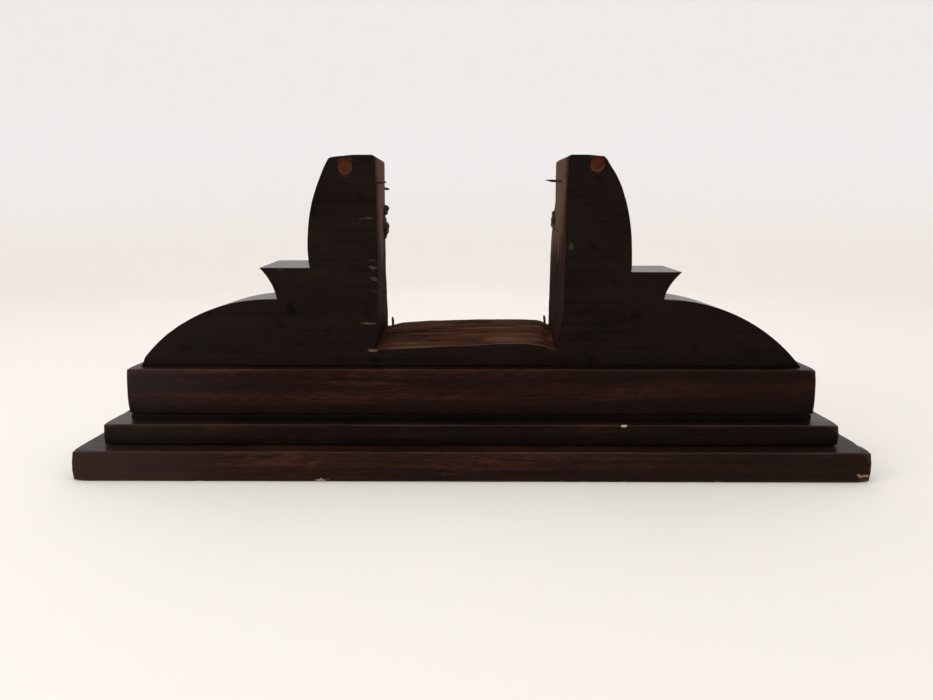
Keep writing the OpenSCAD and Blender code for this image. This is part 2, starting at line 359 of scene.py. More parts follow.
def makeBoard(name, b):
    low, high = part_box(b["node"])
    mesh = bmesh.new()
    bmesh.ops.create_cube(mesh, size=1)
    bmesh.ops.scale(mesh, vec=high - low, verts=mesh.verts)
    bmesh.ops.translate(mesh, vec=(low + high) / 2, verts=mesh.verts)
    bmesh.ops.bevel(mesh, geom=mesh.edges[:], offset=b["arris"], segments=4, profile=0.5,
                    affect="EDGES", material=-1, clamp_overlap=True)
    inset = b["arris"] + 0.25 * mm
    for axis, step in ((0, 2.5 * mm), (1, 5 * mm), (2, 4 * mm)):
        sliceAcross(mesh, axis, low[axis] + inset, high[axis] - inset, step)
    mesh.normal_update()
    centre = (low + high) / 2
    for vert in mesh.verts:
        first, second, third = nearestFaces(vert.co, low, high)
        edge = 1 - soften(second / (3.2 * mm))
        corner = edge * (1 - soften(third / (7 * mm)))
        rub = noise.noise(vert.co * 42 + centre * 90) * 0.5 + 0.5
        nick = max(0.0, noise.noise(vert.co * 210 + centre * 50) - 0.34) * 2.2
        depth = edge * b["wear"] * (0.25 + 0.75 * rub ** 2) + edge * nick * b["wear"] * 1.5
        depth += corner * b["corner"] * (0.35 + 0.65 * rub)
        flat = (1 - edge) * 0.07 * mm * (noise.noise(vert.co * Vector((9, 40, 40))) + 1)
        if vert.normal.z < -0.9:
            flat = 0.0  # the underside stays flat
        vert.co -= vert.normal * (depth + flat)
    piece = asObject(mesh, name)

    holes = bmesh.new()
    over = screwCut["over"]
    up = Vector((0, 0, 1))
    baseLow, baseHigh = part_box("base_screws")
    for x, y in screwPlaces("base_screws", [-1, 0, 1]):
        start = max(low.z - over, baseLow.z - over)
        addCylinder(holes, (x, y, start), up, screwCut["shankRadius"],
                    min(high.z + over, baseHigh.z + 0.1 * mm) - start)
    if b["node"] == "top_board":
        for x, y in screwPlaces("body_screws", [-1, 1]) + innerScrews():
            addCylinder(holes, (x, y, low.z - over), up, screwCut["shankRadius"],
                        high.z - low.z + 2 * over)
    cutAway(piece, holes)
    if b["node"] in ("bottom_board", "top_board"):
        seats = screwPlaces("base_screws", [-1, 0, 1])
        if b["node"] == "top_board":
            seats = screwPlaces("body_screws", [-1, 1]) + innerScrews()
        pits = bmesh.new()
        for x, y in seats:
            addCylinder(pits, (x, y, low.z - over), up, screwCut["headRadius"], screwCut["seatDepth"] + over)
        cutAway(piece, pits)
        cones = bmesh.new()
        for x, y in seats:
            addCylinder(cones, (x, y, low.z + screwCut["seatDepth"] - 0.05 * mm), up,
                        screwCut["headRadius"] - 0.01 * mm, screwCut["coneHeight"], screwCut["shankRadius"])
        cutAway(piece, cones)
    smoothShade(piece)

    def worn(place, normal):
        first, second, third = nearestFaces(place, low, high)
        rubbed = (1 - soften(second / (2.2 * mm))) * 0.8 + (1 - soften(third / (9 * mm))) * 0.3
        return rubbed * (b["lowerWorn"] if place.z < (low.z + high.z) / 2 else 1.0)
    paint(piece, "worn", worn)
    # painted shade: 1 at the foot of the board's faces, fading out towards 62% of its height
    paint(piece, "shadeAndGrime", lambda place, normal: 1 - soften((place.z - low.z) / (high.z - low.z) / 0.62))
    paint(piece, "upward", lambda place, normal: soften((normal.z - 0.5) / 0.4))
    wood, parts = woodFinish(b["slot"], b)
    markWood(wood, parts, b["marks"])
    return hand(piece, b["node"], closeWood(wood, parts, b))


def innerScrews():
    # the two body screws that stand under the uprights
    low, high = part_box("body_screws")
    x = scroll["wallX"] + (scroll["uprightX"] - scroll["wallX"]) / 2
    return [(-x, 0), (x, 0)]


scroll = dict(
    wallX=49 * mm, uprightX=83 * mm, uprightTopX=69.3 * mm, rootX=100.5 * mm, tipX=109.4 * mm,
    shoulderHeight=35.5 * mm, shelfHeight=51.5 * mm, straightTop=58 * mm, hollowRadius=30 * mm,
    floorFront=11.2 * mm, arris=0.8 * mm, topRound=1.9 * mm, tipRound=0.4 * mm,
    crown=0.8 * mm, crownStart=58 * mm, plugRadius=3.97 * mm, grid=2.2 * mm,
    plugSide=67.6 * mm,
    # how far out each upright's outer side stands, up from the body's foot
    leftOuter=[(51.5, 0.3), (55, 0.65), (61.6, 1.05), (69, 1.26), (77, 1.6), (85, 1.85), (98, 1.8),
               (103.5, 2.2), (109, 2.3)],
    rightOuter=[(51.5, 0.4), (62, 0.15), (69, 0.25), (85, 0.4), (93, 0.3), (98, 0.05), (103.5, -0.7), (109, -0.9)],
    # how much higher than drawn each shoulder stands, along X, and each shelf, at the front and the back
    leftBulge=[(100, 0.0), (112, 0.5), (125, 1.1), (140, 1.7), (150, 2.1), (158, 2.5), (165, 2.5), (169, 2.5), (173, 2.3)],
    leftShelf=(0.3, 2.1), rightShelf=(-1.8, -0.9),
    # how far each wall comes in: height above the body's foot, at the front, at the back
    leftLean=[(9, -2.2, 1.6), (14, -0.6, 1.6), (22, 0.9, 1.6), (45, 1.5, 0.8), (90, 1.0, 0.8), (107, 0.6, 0.9)],
    rightLean=[(9, 4.6, 4.4), (15, 4.0, 4.4), (24, 1.6, 4.3), (32, 0.6, 4.2), (60, 0.2, 3.6),
               (78, 0.2, 2.6), (86, 0.1, 1.4), (107, -0.6, 1.4)],
    # the cradle's floor: place along X, height at the front, height at the back
    floorLine=[(-51, 8.9, 15.5), (-47, 9.1, 16.4), (-40, 9.4, 17.9), (-24, 10.2, 19.0), (0, 11.2, 19.7),
               (14, 12.3, 19.8), (30, 12.3, 19.7), (38, 11.2, 19.5), (44, 9.6, 18.4), (49, 8.7, 17.0)],
    sawAmount=0.34 * mm, chiselAmount=0.42 * mm,
    slot="body_wood",
    dark=tint(0.0014, 0.0006, 0.0004), mid=tint(0.0042, 0.0016, 0.0009),
    bright=tint(0.0115, 0.0038, 0.0019), vein=tint(0.0007, 0.0004, 0.0003),
    pore=tint(0.0006, 0.0004, 0.0003), worn=tint(0.030, 0.018, 0.013), wornShare=0.3,
    dustAndSheen=tint(0.0066, 0.0050, 0.0050), dustAndSheenShare=0.75, rightShadeFrom=-0.02, rightShadeTo=0.12, rightShade=0.85, footShadeShare=0.0,
    glow=0.6, dashes=0.7, rough=0.42, relief=0.12 * mm, shine=0.034, topShine=0.62, treadShadeAndGrime=0.0, bareShine=0.015,
    shift=(0.52, 0.05, 0.66),
    rawDark=tint(0.0075, 0.0030, 0.0014), rawMid=tint(0.034, 0.0130, 0.0058), rawPale=tint(0.095, 0.052, 0.034),
    rawGrey=tint(0.100, 0.068, 0.056), rawRed=tint(0.020, 0.0062, 0.0034),
    rawLowShade=tint(0.0085, 0.0038, 0.0021),
    floorDark=tint(0.0110, 0.0042, 0.0020), floorMid=tint(0.052, 0.0190, 0.0082), floorPale=tint(0.140, 0.072, 0.040),
)


def arcTo(mesh, vert, centre, angle, steps):
    # runs a wire on round a centre, in the plane of the body's front; a positive angle turns it
    # from +X towards +Z
    made = bmesh.ops.spin(mesh, geom=[vert], cent=centre, axis=(0, -1, 0), dvec=(0, 0, 0),
                          angle=angle, steps=steps, use_merge=False, use_duplicate=False)
    return [part for part in made["geom_last"] if isinstance(part, bmesh.types.BMVert)][0]


def lineTo(mesh, vert, x, z):
    made = bmesh.ops.extrude_vert_indiv(mesh, verts=[vert])["verts"][0]
    made.co = Vector((x, vert.co.y, z))
    return made


def turned(centre, start, end):
    # signed angle from start to end, seen from the front
    a = math.atan2(start[1] - centre[1], start[0] - centre[0])
    b = math.atan2(end[1] - centre[1], end[0] - centre[0])
    return (b - a + math.pi) % (2 * math.pi) - math.pi


def lineValue(stops, at, column):
    return float(np.interp(at / mm, [s[0] for s in stops], [s[column] for s in stops])) * mm


def floorHeight(x, share):
    front = lineValue(scroll["floorLine"], x, 1)
    back = lineValue(scroll["floorLine"], x, 2)
    return front + (back - front) * soften(share * 1.02)


def wallShift(side, height, share):
    stops = scroll["leftLean"] if side < 0 else scroll["rightLean"]
    front, back = lineValue(stops, height, 1), lineValue(stops, height, 2)
    return front + (back - front) * soften(share)


def rough(place, scale, octaves=3):
    return noise.fractal(Vector(a * b for a, b in zip(place, scale)), 0.7, 2.1, octaves)


def makeBody():
    s = scroll
    low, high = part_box("body")
    foot, front, depth = low.z, low.y, high.y - low.y
    height, tip = high.z - low.z, high.x
    mesh = bmesh.new()
    shoulderRun = tip - s["rootX"]
    shoulderRadius = (shoulderRun ** 2 + s["shoulderHeight"] ** 2) / (2 * s["shoulderHeight"])
    uprightRise = height - s["straightTop"]
    uprightFall = s["uprightX"] - s["uprightTopX"]
    uprightRadius = (uprightRise ** 2 + uprightFall ** 2) / (2 * uprightFall)
    root = Vector((s["rootX"], s["shoulderHeight"]))
    point = Vector((s["tipX"], s["shelfHeight"]))
    chord = point - root
    off = math.sqrt(s["hollowRadius"] ** 2 / chord.length_squared - 0.25)
    hollow = (root + point) / 2 + Vector((chord.y, -chord.x)) * off

    def at(x, z):
        return (x, front, foot + z)

    # half of the outline as one wire, from the middle of the foot round to the cradle's floor
    wire = mesh.verts.new(at(0, 0))
    wire = lineTo(mesh, wire, tip, foot)
    centre = (s["rootX"], s["shoulderHeight"] - shoulderRadius)
    wire = arcTo(mesh, wire, at(*centre), turned(centre, (tip, 0), (s["rootX"], s["shoulderHeight"])), 30)
    wire = arcTo(mesh, wire, at(*hollow), turned(hollow, root, point), 10)
    wire = lineTo(mesh, wire, s["uprightX"], foot + s["shelfHeight"])
    wire = lineTo(mesh, wire, s["uprightX"], foot + s["straightTop"])
    centre = (s["uprightX"] - uprightRadius, s["straightTop"])
    wire = arcTo(mesh, wire, at(*centre),
                 turned(centre, (s["uprightX"], s["straightTop"]), (s["uprightTopX"], height)), 20)
    wire = lineTo(mesh, wire, s["wallX"], foot + height)
    wire = lineTo(mesh, wire, s["wallX"], foot + s["floorFront"])
    wire = lineTo(mesh, wire, 0, foot + s["floorFront"])
    bmesh.ops.remove_doubles(mesh, verts=mesh.verts, dist=1e-6)
    bmesh.ops.mirror(mesh, geom=everything(mesh), axis="X", merge_dist=1e-5)
    bmesh.ops.remove_doubles(mesh, verts=mesh.verts, dist=1e-6)
    bmesh.ops.edgeloop_fill(mesh, edges=mesh.edges[:])
    solid = bmesh.ops.extrude_face_region(mesh, geom=mesh.faces[:], use_keep_orig=True)
    bmesh.ops.translate(mesh, vec=(0, depth, 0),
                        verts=[p for p in solid["geom"] if isinstance(p, bmesh.types.BMVert)])
    bmesh.ops.recalc_face_normals(mesh, faces=mesh.faces)

    def runsBack(edge):
        return abs((edge.verts[0].co - edge.verts[1].co).normalized().y) > 0.9

    topEdges = [e for e in mesh.edges if runsBack(e) and e.verts[0].co.z > foot + height - 1e-5]
    bmesh.ops.bevel(mesh, geom=topEdges, offset=s["topRound"], segments=5, profile=0.5,
                    affect="EDGES", material=-1, clamp_overlap=True)
    lips = [e for e in mesh.edges if runsBack(e) and (abs(abs(e.verts[0].co.x) - s["tipX"]) < 1e-5
            or abs(abs(e.verts[0].co.x) - tip) < 1e-5)]
    bmesh.ops.bevel(mesh, geom=lips, offset=s["tipRound"], segments=3, profile=0.5,
                    affect="EDGES", material=-1, clamp_overlap=True)
    rims = [e for e in mesh.edges if not runsBack(e) and e.verts[0].co.z + e.verts[1].co.z > 2 * foot + 1e-5
            and abs(e.verts[0].co.y - e.verts[1].co.y) < 1e-6]
    bmesh.ops.bevel(mesh, geom=rims, offset=s["arris"], segments=4, profile=0.5,
                    affect="EDGES", material=-1, clamp_overlap=True)
    bmesh.ops.remove_doubles(mesh, verts=mesh.verts, dist=1e-6)

    grid, inset = s["grid"], s["arris"] + 0.25 * mm
    sliceAcross(mesh, 0, -tip + 2 * mm, tip - 2 * mm, grid)
    sliceAcross(mesh, 1, front + inset, front + depth - inset, grid)
    sliceAcross(mesh, 2, foot + 1.2 * mm, foot + height - 3 * mm, grid)
    piece = asObject(mesh, "scrolledBody")
    holes = bmesh.new()
    back = Vector((0, 1, 0))
    for node in ("left_plug", "right_plug"):
        plugLow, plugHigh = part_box(node)
        middle = (plugLow + plugHigh) / 2
        addCylinder(holes, (middle.x, front - 3 * mm, middle.z), back, s["plugRadius"],
                    plugHigh.y - front + 3 * mm, segments=48)
    for x, y in screwPlaces("body_screws", [-1, 1]) + innerScrews():
        addCylinder(holes, (x, y, foot - 1 * mm), Vector((0, 0, 1)), screwCut["shankRadius"],
                    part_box("body_screws")[1].z + 1.1 * mm - foot)
    cutAway(piece, holes)
    mesh = bmesh.new()
    mesh.from_mesh(piece.data)
    mesh.normal_update()
    for vert in mesh.verts:
        place = vert.co.copy()
        side = -1 if place.x < 0 else 1
        share = (place.y - front) / depth
        z = place.z - foot
        normal = vert.normal.copy()
        # wear that keeps inside the cut shape
        edge = 1 - soften(min(share, 1 - share) * depth / (2.6 * mm))
        rub = noise.noise(place * 38) * 0.5 + 0.5
        nick = max(0.0, noise.noise(place * 230) - 0.34) * 2.0
        if z > 0.5 * mm:
            vert.co -= normal * edge * (0.12 + 0.4 * rub ** 2 + 0.7 * nick) * mm * 0.8
            vert.co -= normal * (1 - edge) * 0.06 * mm * (noise.noise(place * 22) + 1)
        # the two sides were sawn by hand, so they differ a little
        reach = abs(place.x)
        if reach > s["rootX"] - 1 * mm and z < s["shoulderHeight"] + 0.5 * mm and side < 0:
            vert.co.z += lineValue(s["leftBulge"], reach, 1) * soften(z / (2.6 * mm))
        if reach > s["uprightX"] - 6 * mm and z > s["shoulderHeight"] + 1 * mm and z < s["shelfHeight"] + 6 * mm:
            shelf = s["leftShelf"] if side < 0 else s["rightShelf"]
            lift = soften((z - s["shoulderHeight"]) / (s["shelfHeight"] - s["shoulderHeight"]))
            lift *= 1 - soften((z - s["shelfHeight"]) / (6 * mm))
            vert.co.z += (shelf[0] + (shelf[1] - shelf[0]) * share) * mm * lift * soften(
                (reach - s["uprightX"] + 6 * mm) / (6 * mm))
        if z > s["shelfHeight"]:
            outer = lineValue(s["leftOuter"] if side < 0 else s["rightOuter"], z, 1)
            vert.co.x += side * outer * soften((z - s["shelfHeight"]) / (2 * mm)) * soften(
                (reach - s["plugSide"]) / (1.7 * mm))
        # the uprights' tops fall away to their outer corners
        if z > height - 14 * mm:
            drop = s["crown"] * soften((abs(place.x) - s["crownStart"]) / (s["uprightTopX"] - s["crownStart"]))
            vert.co.z -= drop * soften((z - height + 14 * mm) / (14 * mm))
        # the walls lean and curve as they were cut by hand
        nearWall = 1 - soften((abs(abs(place.x) - s["wallX"])) / (11 * mm))
        if z > s["floorFront"] - 4 * mm and nearWall > 0:
            lift = soften((z - s["floorFront"] + 4 * mm) / (4 * mm))
            vert.co.x -= side * wallShift(side, z, share) * nearWall * lift
        # saw marks and torn fibres on the walls
        if abs(place.x) < s["wallX"] + 0.6 * mm and abs(normal.x) > 0.4 and z > s["floorFront"]:
            torn = rough(place, (60, 60, 240)) * 0.7 + rough(place + Vector((3, 1, 2)), (260, 300, 300)) * 0.5
            vert.co.x += side * (torn * s["sawAmount"]) * abs(normal.x)
        # the floor's slope, its wavy front edge and the gouge's furrows
        inside = 1 - soften((abs(place.x) - s["wallX"]) / (3.5 * mm))
        away = (s["floorFront"] - z) / (8 * mm) if z < s["floorFront"] else (z - s["floorFront"]) / (24 * mm)
        if inside > 0 and away < 1:
            vert.co.z += (floorHeight(place.x, share) - s["floorFront"]) * inside * (1 - soften(away))
            if z < s["floorFront"] + 0.6 * mm:
                furrows = rough(place, (22, 330, 0)) * 0.75 + rough(place + Vector((5, 2, 0)), (90, 620, 0)) * 0.4
                vert.co.z += furrows * s["chiselAmount"] * soften((normal.z - 0.1) / 0.6) * inside
    mesh.to_mesh(piece.data)
    mesh.free()
    smoothShade(piece, 42)

    def rawness(place, normal):
        # 1 on the cradle's cut faces
        z = place.z - foot
        inCradle = abs(place.x) < s["wallX"] + 2.6 * mm and z > 7 * mm
        facing = max(abs(normal.x), normal.z)
        return soften((facing - 0.3) / 0.4) if inCradle and z < height - 0.3 * mm else 0.0

    def floorness(place, normal):
        z = place.z - foot
        return soften((normal.z - 0.45) / 0.3) if abs(place.x) < s["wallX"] + 2.6 * mm and z < 22 * mm else 0.0

    def worn(place, normal):
        share = min(place.y - front, front + depth - place.y)
        edge = 1 - soften(share / (1.7 * mm))
        return edge * (0.75 if place.z > foot + 0.8 * mm else 0.0)

    paint(piece, "raw", rawness)
    paint(piece, "cradleFloor", floorness)
    paint(piece, "worn", worn)
    paint(piece, "shadeAndGrime", lambda place, normal: 0.0)
    paint(piece, "upward", lambda place, normal: soften((normal.z - 0.5) / 0.4))

    wood, parts = woodFinish("body_wood", s)
    raw = wood.painted("raw")
    onFloor = wood.painted("cradleFloor")
    tall = wood.step(wood.part(wood.place, "Z"), foot + 30 * mm, foot + 95 * mm)
    depthIn = wood.part(wood.place, "Y")
    streaks = wood.noise(wood.stretched((18, 520, 520), (2.1, 0.4, 1.3)), detail=5.0, roughness=0.65)
    sawn = wood.noise(wood.stretched((150, 150, 620), (0.2, 1.4, 0.3)), detail=5.0, roughness=0.65)
    stains = wood.noise(wood.stretched((60, 60, 42), (1.7, 0.6, 2.3)), detail=3.0)
    plumb = wood.noise(wood.stretched((25, 300, 16), (0.6, 2.2, 0.9)), detail=3.0)
    rawColour = wood.blend(wood.step(sawn * 0.5 + stains * 0.5, 0.40, 0.62), s["rawDark"], s["rawMid"])
    # pale towards the back and the top, dark and stained along the front edge
    fromFront = wood.step(depthIn + (plumb - 0.5) * 0.02 + tall * 0.013, front + 4 * mm, front + 27 * mm)
    pale = fromFront * wood.step(sawn * 0.35 + plumb * 0.5 + tall * 0.35, 0.46, 0.72)
    rawColour = wood.blend(pale * 0.9, rawColour, s["rawPale"])
    rawColour = wood.blend(pale * wood.step(plumb * 0.6 + stains * 0.4, 0.46, 0.6) * 0.8, rawColour, s["rawGrey"])
    # painted shade: the lower part of each cradle wall is darkened
    rawColour = wood.blend(wood.step(tall + (plumb - 0.5) * 0.5, 0.62, 0.1) * 0.75, rawColour, s["rawLowShade"])
    stained = 1 - wood.step(depthIn + (stains - 0.5) * 0.014 - (1 - tall) * 0.013, front + 3 * mm, front + 12 * mm)
    rawColour = wood.blend(stained * 0.85, rawColour, s["rawRed"])
    chiselled = wood.blend(wood.step(streaks * 0.7 + stains * 0.3, 0.36, 0.56), s["floorDark"], s["floorMid"])
    glints = wood.step(streaks * 0.6 + wood.noise(wood.stretched((34, 240, 240), (0.9, 2.4, 0.1)), detail=3.0) * 0.4,
                       0.53, 0.66)
    glints = glints + wood.spot((23 * mm, front + 10 * mm, foot + 13 * mm), (20 * mm, 16 * mm, 6 * mm)) * 0.45 * streaks
    chiselled = wood.blend(glints * 0.8, chiselled, s["floorPale"])
    lipLine = 1 - wood.step(depthIn + (stains - 0.5) * 0.002, front + 0.9 * mm, front + 2.4 * mm)
    chiselled = wood.blend(lipLine * (0.25 + streaks * 0.7), chiselled, s["floorPale"])
    rawColour = wood.blend(onFloor, rawColour, chiselled)
    share = wood.step(raw + (parts["fibres"] - 0.5) * 0.3, 0.35, 0.65)
    parts["height"] = parts["height"] + share * (sawn + streaks) * 1.2
    # bare wood over the plugs, where the rim of each hole has worn through
    for node in ("left_plug", "right_plug"):
        plugLow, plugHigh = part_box(node)
        middle = (plugLow + plugHigh) / 2
        rim = wood.spot((middle.x, front, middle.z + 3.2 * mm), (4.6 * mm, 3 * mm, 3.6 * mm), 1.6)
        share = share.math("MAXIMUM", wood.step(rim, 0.25, 0.8) * 0.85)
        rawColour = wood.blend(wood.step(rim, 0.1, 0.3), rawColour, wood.blend(
            wood.step(parts["threads"], 0.4, 0.65), tint(0.020, 0.0062, 0.0030), tint(0.060, 0.020, 0.0095)))
    # a splinter off the front of the floor's left corner
    splinter = wood.spot((-51 * mm, front, foot + 8.6 * mm), (3.4 * mm, 2 * mm, 0.8 * mm), 1.2)
    rawColour = wood.blend(wood.step(splinter, 0.1, 0.4), rawColour, s["floorPale"])
    share = share.math("MAXIMUM", wood.step(splinter, 0.2, 0.6))
    parts["bareColour"] = rawColour
    parts["bareRoughness"] = 0.78 + (sawn - 0.5) * 0.2
    parts["bareShare"] = share
    markWood(wood, parts, [
        ((-0.0543, front, foot + 0.0768), (0.0060, 0.002, 0.00035), tint(0.040, 0.037, 0.035), 0.75),
        ((-0.0517, front, foot + 0.0774), (0.0026, 0.002, 0.00035), tint(0.050, 0.046, 0.042), 0.75),
        ((-0.0535, front, foot + 0.0228), (0.0040, 0.002, 0.0006), tint(0.10, 0.070, 0.047), 0.75),
        ((-0.0503, front, foot + 0.0556), (0.0034, 0.002, 0.0019), tint(0.0005, 0.0003, 0.0003), 0.8),
        ((-0.0503, front, foot + 0.0518), (0.0036, 0.002, 0.0020), tint(0.0005, 0.0003, 0.0003), 0.8),
        ((-0.0502, front, foot + 0.0460), (0.0036, 0.002, 0.0024), tint(0.0005, 0.0003, 0.0003), 0.8),
        ((-0.0503, front, foot + 0.0556), (0.0024, 0.002, 0.0010), tint(0.024, 0.020, 0.018), 0.8),
        ((-0.0502, front, foot + 0.0518), (0.0025, 0.002, 0.0012), tint(0.048, 0.038, 0.030), 0.85),
        ((-0.0501, front, foot + 0.0460), (0.0024, 0.002, 0.0015), tint(0.050, 0.031, 0.018), 0.85),
        ((-0.0492, front, foot + 0.0398), (0.0015, 0.002, 0.0011), tint(0.026, 0.018, 0.013), 0.7),
        ((0.0518, front, foot + 0.0628), (0.0019, 0.002, 0.0022), tint(0.040, 0.038, 0.038), 0.6)])
    return hand(piece, "body", closeWood(wood, parts, s))


plugs = {
    "leftPlug": dict(node="left_plug", dot=(-1.1 * mm, -1.5 * mm), dotRadius=0.55 * mm, dotDepth=1.2 * mm,
                     uneven=0.22 * mm, seed=3.0),
    "rightPlug": dict(node="right_plug", dot=None, uneven=0.16 * mm, seed=8.0),
}
plugLook = dict(slot="plug_wood", rim=0.25 * mm, rings=8, proud=0.85 * mm,
                dark=tint(0.030, 0.0075, 0.0028), mid=tint(0.072, 0.018, 0.0065), pale=tint(0.085, 0.036, 0.018))


def plugFinish(name, middle):
    wood = Finish(name)
    ends = wood.stretched((1, 1, 1), (-middle.x, 0, -middle.z))
    rings = wood.add("ShaderNodeTexWave", {"wave_type": "RINGS", "rings_direction": "Y"},
                     {"Vector": ends, "Scale": 320.0, "Distortion": 3.5, "Detail": 3.0, "Detail Scale": 2.0})
    fine = wood.noise(wood.stretched((1500, 320, 1500)), detail=4.0)
    patches = wood.noise(wood.stretched((260, 260, 260), (0.3, 0.1, 0.7)), detail=3.0)
    out = wood.add("ShaderNodeVectorMath", {"operation": "LENGTH"},
                   {0: wood.stretched((1, 0, 1), (-middle.x, 0, -middle.z))}, "Value")
    colour = wood.blend(wood.step(patches * 0.6 + rings * 0.4, 0.35, 0.7), plugLook["dark"], plugLook["mid"])
    colour = wood.blend(wood.step(fine, 0.48, 0.72) * 0.5, colour, plugLook["pale"])
    # painted highlight: a pale rim along the lower edge of the plug
    lowerHighlight = wood.step(wood.part(wood.place, "Z"), middle.z + 0.5 * mm, middle.z - 3 * mm)
    rim = wood.step(out, 2.5 * mm, 3.5 * mm) * lowerHighlight
    colour = wood.blend(rim * (0.4 + fine * 0.6), colour, plugLook["pale"])
    return wood.surface({"Base Color": colour, "Roughness": 0.62 + fine * 0.2,
                         "Normal": wood.bumped(fine + rings * 0.4, 0.12 * mm),
                         "Specular IOR Level": 0.06})


def makePlug(name, p):
    low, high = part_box(p["node"])
    middle = (low + high) / 2
    radius = (high.x - low.x) / 2
    mesh = bmesh.new()
    low.y -= plugLook["proud"]
    addCylinder(mesh, (middle.x, low.y, middle.z), Vector((0, 1, 0)), radius, high.y - low.y, segments=48)
    ends = [e for e in mesh.edges if all(abs(v.co.y - low.y) < 1e-6 for v in e.verts)]
    bmesh.ops.bevel(mesh, geom=ends, offset=plugLook["rim"], segments=3, profile=0.5,
                    affect="EDGES", material=-1)
    mesh.faces.ensure_lookup_table()
    face = min((f for f in mesh.faces if len(f.verts) > 8), key=lambda f: f.calc_center_median().y)
    for ring in range(plugLook["rings"]):
        bmesh.ops.inset_region(mesh, faces=[face], thickness=(radius - plugLook["rim"]) / (plugLook["rings"] + 0.6))
    for vert in mesh.verts:
        if vert.co.y < low.y + 1 * mm:
            spot = Vector((vert.co.x - middle.x, 0, vert.co.z - middle.z))
            vert.co.y += p["uneven"] * (1 + noise.noise(spot * 520 + Vector((p["seed"], 0, 0))))
            vert.co.y += 0.1 * mm * noise.noise(spot * 1500 + Vector((0, p["seed"], 0)))
            vert.co.y += 0.5 * mm * soften(spot.z / radius - 0.35)
    piece = asObject(mesh, name)
    if p["dot"]:
        pit = bmesh.new()
        addCylinder(pit, (middle.x + p["dot"][0], low.y - 1 * mm, middle.z + p["dot"][1]),
                    Vector((0, 1, 0)), p["dotRadius"], p["dotDepth"] + 1 * mm, p["dotRadius"] * 0.5, 14)
        cutAway(piece, pit)
    smoothShade(piece)
    return hand(piece, p["node"], plugFinish(p["node"], middle))


pins = {
    "leftFrontPin": dict(node="left_front_pin", axis=0, toward=1, bend=(0, 0, 0.5 * mm), point=1.6 * mm, seed=1.0),
    "leftBackPin": dict(node="left_back_pin", axis=0, toward=1, bend=(0, 0.2 * mm, -0.3 * mm), point=1.0 * mm, seed=2.0),
    "rightPin": dict(node="right_pin", axis=0, toward=-1, bend=(0, 0, 0.6 * mm), point=4.2 * mm, seed=3.0),
    "leftFloorPin": dict(node="left_floor_pin", axis=2, toward=1, bend=(-0.2 * mm, 0, 0), point=1.4 * mm, seed=4.0),
    "rightFloorPin": dict(node="right_floor_pin", axis=2, toward=1, bend=(-0.5 * mm, 0, 0), point=1.2 * mm, seed=5.0),
}
pinLook = dict(slot="pin_wire", bite=8 * mm, flare=1.3, rust=0.07 * mm)


def rustyWire():
    wire = Finish("pin_wire")
    scale = wire.noise(wire.place, 900.0, 5.0, 0.65)
    spots = wire.noise(wire.place, 2600.0, 3.0, 0.6)
    colour = wire.blend(wire.step(scale, 0.38, 0.62), tint(0.016, 0.0085, 0.006), tint(0.05, 0.021, 0.012))
    colour = wire.blend(wire.step(spots, 0.55, 0.7) * 0.6, colour, tint(0.11, 0.042, 0.018))
    return wire.surface({"Base Color": colour, "Roughness": 0.5 + scale * 0.35,
                         "Metallic": 0.75 - wire.step(scale, 0.35, 0.6) * 0.6,
                         "Normal": wire.bumped(scale + spots * 0.5, 0.08 * mm)})


def makePin(name, p, material):
    low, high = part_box(p["node"])
    axis, toward = p["axis"], p["toward"]
    along = axisVectors[axis] * toward
    start = (low + high) / 2
    start[axis] = low[axis] if toward > 0 else high[axis]
    length = high[axis] - low[axis]
    others = [i for i in range(3) if i != axis]
    radius = (high[others[0]] - low[others[0]]) / 2
    mesh = bmesh.new()
    addCylinder(mesh, start, along, radius, length, segments=16)
    sliceAcross(mesh, axis, low[axis] + 0.3 * mm, high[axis] - 0.3 * mm, 0.45 * mm)
    for vert in mesh.verts:
        run = (vert.co - start).dot(along)
        line = start + along * run
        out = vert.co - line
        left = length - run
        size = 0.25 + 0.75 * soften(left / p["point"]) if left < p["point"] else 1.0
        size *= 1 + pinLook["rust"] / radius * noise.noise(vert.co * 1400 + Vector((p["seed"], 0, 0)))
        proud = max(0.0, run - pinLook["bite"]) / max(1e-6, length - pinLook["bite"])
        vert.co = line + out * size + Vector(p["bend"]) * proud ** 2
    piece = asObject(mesh, name)
    smoothShade(piece, 60)
    return hand(piece, p["node"], material)


glue = {
    # each blob: place along the depth and up the wall, as shares of the node's box, then half sizes
    "leftGlue": dict(node="left_glue", side=-1, seed=2.0, lean=0.9 * mm,
                     blobs=[(0.62, 0.86, 3.0, 2.4, 2.2), (0.5, 0.74, 2.2, 2.6, 1.6), (0.55, 0.5, 1.4, 2.6, 3.0),
                            (0.42, 0.34, 3.2, 3.4, 3.3), (0.62, 0.24, 2.6, 3.0, 3.4), (0.5, 0.1, 1.8, 2.0, 2.6)]),
    "rightGlue": dict(node="right_glue", side=1, seed=7.0, lean=2.2 * mm,
                      blobs=[(0.6, 0.78, 1.8, 2.6, 2.8), (0.45, 0.55, 2.3, 3.4, 3.0), (0.62, 0.36, 2.0, 2.8, 2.6),
                             (0.4, 0.2, 1.3, 2.4, 2.8)]),
}
glueLook = dict(slot="dried_glue", voxel=0.32 * mm, bumps=0.32 * mm)


